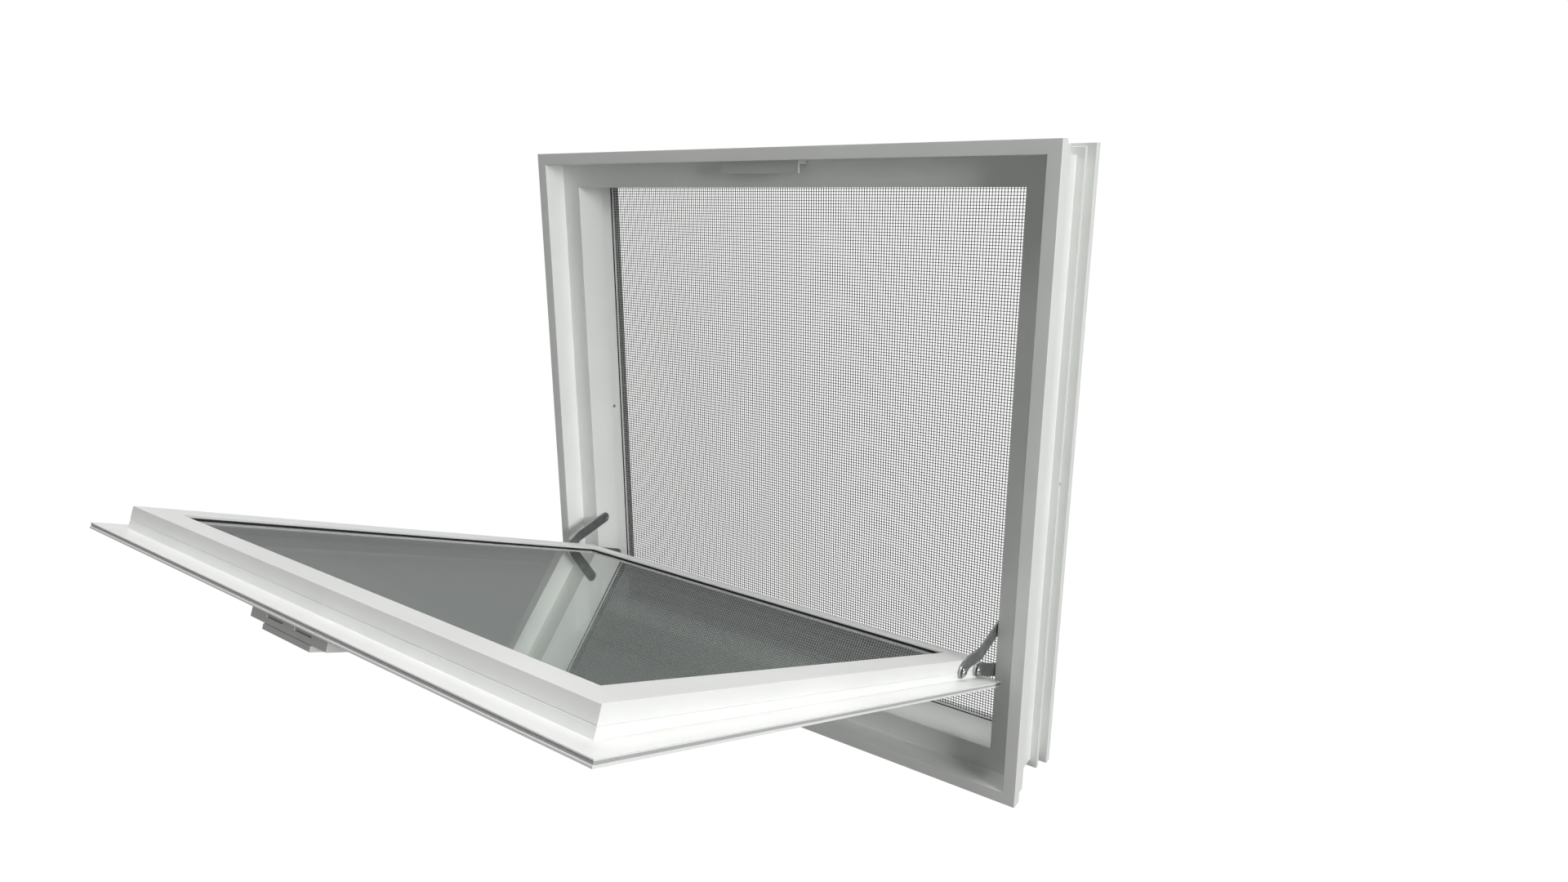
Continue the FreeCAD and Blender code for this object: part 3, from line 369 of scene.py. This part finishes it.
# %% Plastics and rubbers
latch_plastic = painted("abs_white_moulded", "#eceeeb", "#e7e9e6", 0.3, 0.8, 0.01)
bolt_plastic = painted("acetal_white", "#dddedb", "#d5d6d3", 0.34, 0.8, 0.01)
nylon = painted("nylon_natural", "#d8d6cc", "#cfcdc3", 0.42, 1.0, 0.01)
black_nylon = painted("nylon_black", "#1f2021", "#191a1b", 0.45, 1.0, 0.02)
gasket_rubber = painted("rubber_black_gasket", "#1c1e1f", "#151617", 0.56, 0.8, 0.03)
hard_rubber = painted("rubber_black_hard", "#232425", "#1b1c1d", 0.6, 1.2, 0.03)
spline_cord = painted("pvc_black_spline", "#1e1f20", "#181919", 0.5, 1.0, 0.04)
foam_tape = painted("foam_grey_tape", "#b4b6b4", "#a4a6a4", 0.8, 0.7, 0.08)
screen_yarn = painted("yarn_vinyl_coated", "#505253", "#464849", 0.5, 1.0, 0.02)


# %% Pile weatherstrip: short grey fibres packed upright
def pile(name):
    finish, tree, shader = start_finish(name, Roughness=0.9, Sheen_Weight=0.3)
    fibres = grain(tree, (0.4, 0.4, 0.4), detail=3)
    tree.links.new(two_tone(tree, fibres, "#c4c6c5", "#acaead"), shader.inputs["Base Color"])
    bump(tree, shader, fibres, 0.2)
    return finish


weather_pile = pile("pile_grey_weatherstrip")
print("plastics, rubbers, yarn and pile")


# %% [markdown]
# ### Float glass
# Clear float glass has an index of 1.52, and its iron gives a faint green, strongest where light
# travels far inside it. Seen along its surface it mirrors what stands behind it, which is most of
# what the open sash shows. A slight haze of dust keeps the mirror from being perfect.

# %% Float glass
def float_glass(name):
    finish, tree, shader = start_finish(name, IOR=1.52, Transmission_Weight=1.0)
    haze = grain(tree, (90, 90, 90), detail=4)
    tree.links.new(two_tone(tree, haze, "#eef4f1", "#ebf2ee"), shader.inputs["Base Color"])
    tree.links.new(between(tree, haze, 0.0, 0.02), shader.inputs["Roughness"])
    return finish


clear_glass = float_glass("glass_float_clear")


# %% [markdown]
# ## The extruded bars
# A saw and a hot plate join each corner on the slant, so the long edges of a bar are soft and its
# cut ends are crisp. Only edges that run along the bar are rounded, and the mitres stay tight. The
# sash's bars have the crispest edges and the beads behind the screen the softest.

# %% Finish one bar
BAR_ROUND = 0.5
SASH_ROUND = 0.35
SCREEN_BEAD_ROUND = 0.8


def soften_bar(node, run, body, finish, width=BAR_ROUND):
    """Rounds a bar's long edges by width millimetres and gives it its finish."""
    piece = copy_node(node, node + "_bar")
    count = round_edges(piece, sharp_along(run), width * MM)
    smooth(piece)
    piece.data.materials.append(finish)
    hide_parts(node)
    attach(piece, body)
    return count


# %% The frame's four bars and the beads behind its screen
rounded = 0
for side in ("sill", "head"):
    rounded += soften_bar(f"frame_{side}", ACROSS, "frame", pvc_across)
for side in ("jamb_left", "jamb_right"):
    rounded += soften_bar(f"frame_{side}", UP, "frame", pvc_upright)
for side in ("bottom", "top"):
    rounded += soften_bar(f"screen_bead_{side}", ACROSS, "frame", pvc_across,
                          SCREEN_BEAD_ROUND)
for side in ("left", "right"):
    rounded += soften_bar(f"screen_bead_{side}", UP, "frame", pvc_upright,
                          SCREEN_BEAD_ROUND)
print(f"{rounded} edges rounded on the frame and its beads")

# %% The sash's rails and stiles and its glazing beads
rounded = 0
for side in ("rail_bottom", "rail_top"):
    rounded += soften_bar(f"sash_{side}", ACROSS, "sash", pvc_sash_across,
                          SASH_ROUND)
for side in ("stile_left", "stile_right"):
    rounded += soften_bar(f"sash_{side}", SASH_UP, "sash", pvc_sash_upright,
                          SASH_ROUND)
for side in ("bottom", "top"):
    rounded += soften_bar(f"glazing_bead_{side}", ACROSS, "sash", pvc_sash_across)
for side in ("left", "right"):
    rounded += soften_bar(f"glazing_bead_{side}", SASH_UP, "sash", pvc_sash_upright)
print(f"{rounded} edges rounded on the sash")

# %% The screen's painted bars
rounded = 0
for side in ("bottom", "top"):
    rounded += soften_bar(f"screen_bar_{side}", ACROSS, "frame", screen_paint)
for side in ("left", "right"):
    rounded += soften_bar(f"screen_bar_{side}", UP, "frame", screen_paint)
print(f"{rounded} edges rounded on the screen")

# %% [markdown]
# ## The insect screen
# The CAD model has a plain thin sheet where the real screen is woven. Here every thread is made.
# One thread is a thin bar, an Array modifier repeats it across the opening, and a second set
# crosses the first. Real yarn is 0.3 mm thick and 1.5 mm apart. It is drawn at about twice that,
# so that it shows.

# %% One set of threads
PITCH = 2.98 * MM
YARN_WIDE = 0.54 * MM
YARN_DEEP = 0.54 * MM
CROSSING = 0.24 * MM


def threads(name, run, spread, centre, length, reach):
    """Threads along run, set side by side along spread."""
    count = int(reach / PITCH)
    first = centre - spread * PITCH * (count - 1) / 2
    bpy.ops.object.select_all(action="DESELECT")
    bpy.ops.mesh.primitive_cube_add(size=1, location=(0, 0, 0))
    thread = name_piece(name)
    bpy.ops.object.mode_set(mode="EDIT")
    bpy.ops.mesh.select_all(action="SELECT")
    sizes = [length if abs(run[i]) > 0.5 else YARN_WIDE for i in range(3)]
    sizes[1] = YARN_DEEP
    bpy.ops.transform.resize(value=sizes)
    bpy.ops.transform.translate(value=first)
    bpy.ops.object.mode_set(mode="OBJECT")
    bpy.ops.object.modifier_add(type="ARRAY")
    repeat = thread.modifiers[-1]
    repeat.count = count
    repeat.use_relative_offset = False
    repeat.use_constant_offset = True
    repeat.constant_offset_displace = spread * PITCH
    bpy.ops.object.modifier_apply(modifier=repeat.name)
    return thread, count


# %% Weave the screen
low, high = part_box("insect_mesh")
middle = (low + high) / 2
wide, tall = high.x - low.x, high.z - low.z
warp, upright_count = threads("screen_warp", UP, ACROSS, middle + Vector((0, CROSSING, 0)),
                              tall, wide)
weft, level_count = threads("screen_weft", ACROSS, UP, middle - Vector((0, CROSSING, 0)),
                            wide, tall)
pick(warp, weft)
bpy.ops.object.join()
woven = name_piece("screen_cloth")
woven.data.materials.append(screen_yarn)
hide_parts("insect_mesh")
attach(woven, "frame")
print(f"{upright_count} threads up and {level_count} across")

# %% [markdown]
# ## Pressed and moulded pieces
# A punch rounds the rim of a steel arm on one face and leaves a burr on the other, which tumbling
# takes off. The latch and its grip come out of a mould with rounded corners, and the keeper is
# bent from strip and coated. All of their sharp edges are rounded, each by its own amount.

# %% Finish one pressed or moulded piece
def soften_piece(node, name, body, finish, width):
    """Rounds all of a piece's sharp edges by width millimetres and gives it its finish."""
    piece = copy_node(node, name)
    count = round_edges(piece, sharp, width * MM, steps=3)
    smooth(piece)
    piece.data.materials.append(finish)
    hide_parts(node)
    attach(piece, body)
    print(f"{name}: {count} edges rounded by {width} mm")


for side in ("left", "right"):
    for arm in ("long_arm", "short_arm"):
        node = f"{arm}_{side}"
        soften_piece(node, node + "_strip", node, arm_steel, 0.55)
soften_piece("keeper", "keeper_bracket", "frame", white_powder, 0.4)
soften_piece("latch_housing", "latch_case", "sash", latch_plastic, 0.45)
soften_piece("latch_bolt", "latch_fork", "latch", bolt_plastic, 0.3)
soften_piece("latch_grip", "latch_thumb_grip", "latch", latch_plastic, 0.6)


# %% [markdown]
# ## Rivets
# A rivet's head is a low dome. A ball is halved, squashed to the height of the head and given a
# shank, which is far quicker than turning a profile and leaves no pole at the rim.

# %% Make one rivet
HEAD_RADIUS = 4.5 * MM
HEAD_HIGH = 2.2 * MM
RIVET_SHANK_RADIUS = 2.5 * MM
SASH_SHANK_LONG = 7.3 * MM
SHANK_OVERLAP = 0.1 * MM    # how far a shank reaches past the seat of its head


def rivet(name, rim_centre, outward, shank_long):
    """A domed rivet that points outward along X. Its head's flat side lies 1.15 mm beyond
    rim_centre and clear of the shank, because resize works about the half ball's own middle."""
    bpy.ops.object.select_all(action="DESELECT")
    bpy.ops.mesh.primitive_uv_sphere_add(segments=40, ring_count=20, radius=HEAD_RADIUS)
    dome = name_piece(name)
    bpy.ops.object.mode_set(mode="EDIT")
    bpy.ops.mesh.select_all(action="SELECT")
    bpy.ops.mesh.bisect(plane_co=(0, 0, 0), plane_no=(0, 0, 1), use_fill=True, clear_inner=True)
    bpy.ops.mesh.select_all(action="SELECT")
    bpy.ops.transform.resize(value=(1, 1, HEAD_HIGH / HEAD_RADIUS))
    bpy.ops.object.mode_set(mode="OBJECT")
    bpy.ops.object.select_all(action="DESELECT")
    bpy.ops.mesh.primitive_cylinder_add(vertices=40, radius=RIVET_SHANK_RADIUS,
                                        depth=shank_long,
                                        location=(0, 0, -shank_long / 2 + SHANK_OVERLAP))
    shank = bpy.context.object
    pick(dome, shank)
    bpy.ops.object.join()
    turn = Matrix.Rotation(math.radians(90) * outward, 4, "Y")
    dome.matrix_world = Matrix.Translation(rim_centre) @ turn
    bpy.ops.object.transform_apply(location=True, rotation=True, scale=True)
    bpy.ops.object.shade_smooth_by_angle(angle=math.radians(50))
    dome.data.materials.append(rivet_steel)
    return dome


def head_rim(node, outward):
    """The middle of the rim of the rivet head at a node's left or right end."""
    low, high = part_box(node)
    middle = (low + high) / 2
    tip = high.x if outward > 0 else low.x
    return Vector((tip - outward * HEAD_HIGH, middle.y, middle.z))


# %% The long arms' rivets, and the short arms' rivets in the sash
for side, outward in (("left", -1), ("right", 1)):
    node = f"long_arm_rivet_{side}"
    low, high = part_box(node)
    made = rivet(f"long_arm_dome_{side}", head_rim(node, outward), outward,
                 high.x - low.x - HEAD_HIGH)
    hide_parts(node)
    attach(made, f"long_arm_{side}")

domes = []
for side, outward in (("left", -1), ("right", 1)):
    domes.append(rivet(f"short_arm_dome_{side}", head_rim("short_arm_rivets", outward), outward,
                       SASH_SHANK_LONG))
pick(*domes)
bpy.ops.object.join()
short_domes = name_piece("short_arm_domes")
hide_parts("short_arm_rivets")
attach(short_domes, "sash")
print("four domed rivets")


# %% [markdown]
# ## Screws
# Two small pan-head screws hold the keeper. Each head is a short cylinder with a rounded rim. Two
# crossed bars are taken out of it with a Boolean modifier, which leaves the cross recess that a
# screwdriver fits.

# %% Make one screw
SCREW_HEAD_RADIUS = 3.4 * MM
SCREW_HEAD_HIGH = 1.6 * MM
SCREW_RIM_ROUND = 0.45 * SCREW_HEAD_HIGH
SCREW_SHANK_RADIUS = 1.75 * MM
SCREW_SHANK_LONG = 8.2 * MM
RECESS = (1.15 * SCREW_HEAD_RADIUS, 0.9 * MM, 1.1 * SCREW_HEAD_HIGH)


def on_top(edge):
    """The sharp edges of a screw head's upper rim."""
    return sharp(edge) and edge.verts[0].co.z > SCREW_HEAD_HIGH / 2


def screw(name, seat, outward):
    """A pan-head screw whose head stands on seat and points outward."""
    bpy.ops.object.select_all(action="DESELECT")
    bpy.ops.mesh.primitive_cylinder_add(vertices=40, radius=SCREW_HEAD_RADIUS,
                                        depth=SCREW_HEAD_HIGH,
                                        location=(0, 0, SCREW_HEAD_HIGH / 2))
    head = name_piece(name)
    round_edges(head, on_top, SCREW_RIM_ROUND, steps=4)
    bpy.ops.object.select_all(action="DESELECT")
    for turn in (0, 90):
        bpy.ops.mesh.primitive_cube_add(size=1, location=(0, 0, SCREW_HEAD_HIGH),
                                        rotation=(0, 0, math.radians(turn)), scale=RECESS)
        blade = bpy.context.object
        pick(head)
        bpy.ops.object.modifier_add(type="BOOLEAN")
        recess = head.modifiers[-1]
        recess.operation = "DIFFERENCE"
        recess.object = blade
        bpy.ops.object.modifier_apply(modifier=recess.name)
        pick(blade)
        bpy.ops.object.delete()
    bpy.ops.mesh.primitive_cylinder_add(vertices=32, radius=SCREW_SHANK_RADIUS,
                                        depth=SCREW_SHANK_LONG,
                                        location=(0, 0, -SCREW_SHANK_LONG / 2 + SHANK_OVERLAP))
    shank = bpy.context.object
    pick(head, shank)
    bpy.ops.object.join()
    turn = Vector((0, 0, 1)).rotation_difference(outward).to_matrix().to_4x4()
    head.matrix_world = Matrix.Translation(seat) @ turn
    bpy.ops.object.transform_apply(location=True, rotation=True, scale=True)
    bpy.ops.object.shade_smooth_by_angle(angle=math.radians(40))
    head.data.materials.append(plain_steel)
    return head


# %% The keeper's two screws, which point down
low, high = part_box("keeper_screws")
middle = (low + high) / 2
half = (high.x - low.x) / 2 - SCREW_HEAD_RADIUS
reach = (high.z - low.z) / 2
made = []
for side, sign in (("left", -1), ("right", 1)):
    seat = middle + ACROSS * sign * half - UP * (reach - SCREW_HEAD_HIGH)
    made.append(screw(f"keeper_pan_screws_{side}", seat, -UP))
pick(*made)
bpy.ops.object.join()
pair = name_piece("keeper_pan_screws")
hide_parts("keeper_screws")
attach(pair, "frame")
print(f"{len(made)} keeper screws made")

# %% [markdown]
# ## Finishes for the CAD nodes that stay
# The panes, gaskets, washers, plates and the latch's screws have the right shape already, so each
# keeps its mesh and gets its finish.

# %% Give each kept node its finish
KEPT = {
    "glass_outer": clear_glass,
    "glass_inner": clear_glass,
    "glass_spacer": spacer_metal,
    "gasket_outer": gasket_rubber,
    "glazing_tape": foam_tape,
    "setting_blocks": hard_rubber,
    "sash_weatherstrip": weather_pile,
    "screen_corner_keys": black_nylon,
    "screen_spline": spline_cord,
    "long_arm_studs": plain_steel,
    "short_arm_studs": plain_steel,
    "jamb_plate_left": plain_steel,
    "jamb_plate_right": plain_steel,
    "sash_plate_left": plain_steel,
    "sash_plate_right": plain_steel,
    "jamb_washers": nylon,
    "sash_washers": nylon,
    "latch_screws": plain_steel,
}
for node, finish in KEPT.items():
    kept = frame["nodes"][node]
    kept.data.materials.clear()
    kept.data.materials.append(finish)
print(f"{len(KEPT)} nodes keep their mesh")

# %% [markdown]
# ## The studio
# The window hangs as it would in a wall, above a plain pale floor. The floor and the sky look white
# to the camera and are a soft grey to everything else, so that the white frame keeps its shades and
# the glass has something calm to mirror.

# %% Floor and sky
FLOOR_WIDE = 30
FLOOR_LEVEL = -0.6


def pale(tree, seen, mirrored, felt, shader_kind):
    """Three brightnesses of grey: for the camera, for mirrors and glass, and for dull surfaces."""
    path = add_node(tree, "ShaderNodeLightPath")
    glow = {grey: add_node(tree, shader_kind, {"Color": (grey, grey, grey, 1)}).outputs[0]
            for grey in (seen, mirrored, felt)}
    unseen = add_node(tree, "ShaderNodeMixShader", {
        0: path.outputs["Is Diffuse Ray"], 1: glow[mirrored], 2: glow[felt],
    }).outputs[0]
    return add_node(tree, "ShaderNodeMixShader", {
        0: path.outputs["Is Camera Ray"], 1: unseen, 2: glow[seen],
    }).outputs[0]


bpy.ops.object.select_all(action="DESELECT")
bpy.ops.mesh.primitive_plane_add(size=FLOOR_WIDE, location=(0, 0, FLOOR_LEVEL))
floor = name_piece("floor")
floor_paint = bpy.data.materials.new("floor_pale")
floor_paint.use_nodes = True
tree = floor_paint.node_tree
tree.nodes.remove(tree.nodes["Principled BSDF"])
tree.links.new(pale(tree, seen=1.02, mirrored=0.27, felt=0.17, shader_kind="ShaderNodeEmission"),
               tree.nodes["Material Output"].inputs["Surface"])
floor.data.materials.append(floor_paint)

sky = bpy.data.worlds.new("sky")
bpy.context.scene.world = sky
sky.use_nodes = True
tree = sky.node_tree
tree.nodes.remove(tree.nodes["Background"])
tree.links.new(pale(tree, seen=1.02, mirrored=0.28, felt=0.16, shader_kind="ShaderNodeBackground"),
               tree.nodes["World Output"].inputs["Surface"])
bpy.context.scene.view_settings.view_transform = "Standard"
print("floor and sky")


# %% Softboxes: one on the right, one overhead and a weak one behind
def softbox(name, place, target, size, power):
    """A square lamp that lights the window but shows neither to the camera nor through glass."""
    bpy.ops.object.light_add(type="AREA", location=place)
    lamp = bpy.context.object
    lamp.name = name
    lamp.data.shape = "SQUARE"
    lamp.data.size = size
    lamp.data.energy = power
    lamp.rotation_euler = (Vector(target) - Vector(place)).to_track_quat("-Z", "Y").to_euler()
    lamp.visible_camera = False
    lamp.visible_transmission = False


softbox("softbox_right", (3.8, -0.9, 0.9), (0, -0.1, 0.3), 1.2, 101)
softbox("softbox_top", (0.2, -0.2, 4.2), (0, -0.1, 0.3), 2.0, 116)
softbox("softbox_back", (-1.2, 3.4, 2.2), (0, 0, 0.3), 1.6, 34)
print("three softboxes")

# %% [markdown]
# ## The camera
# It stands in the room, to the right of the window and just below the level of the frame's top,
# with a wide lens, so the open sash reaches towards it.

# %% Camera
CAMERA_PLACE = (0.55342, -0.75222, 0.56130)
LOOK_DOWN = 15.062    # degrees below level
LOOK_LEFT = 34.667    # degrees from straight at the window

bpy.ops.object.camera_add(location=CAMERA_PLACE,
                          rotation=(math.radians(90 - LOOK_DOWN), 0, math.radians(LOOK_LEFT)))
camera = bpy.context.object
camera.name = "camera"
camera.data.sensor_width = 36
camera.data.lens = 21.453
camera.data.clip_start = 0.01
bpy.context.scene.camera = camera
print("camera in place")
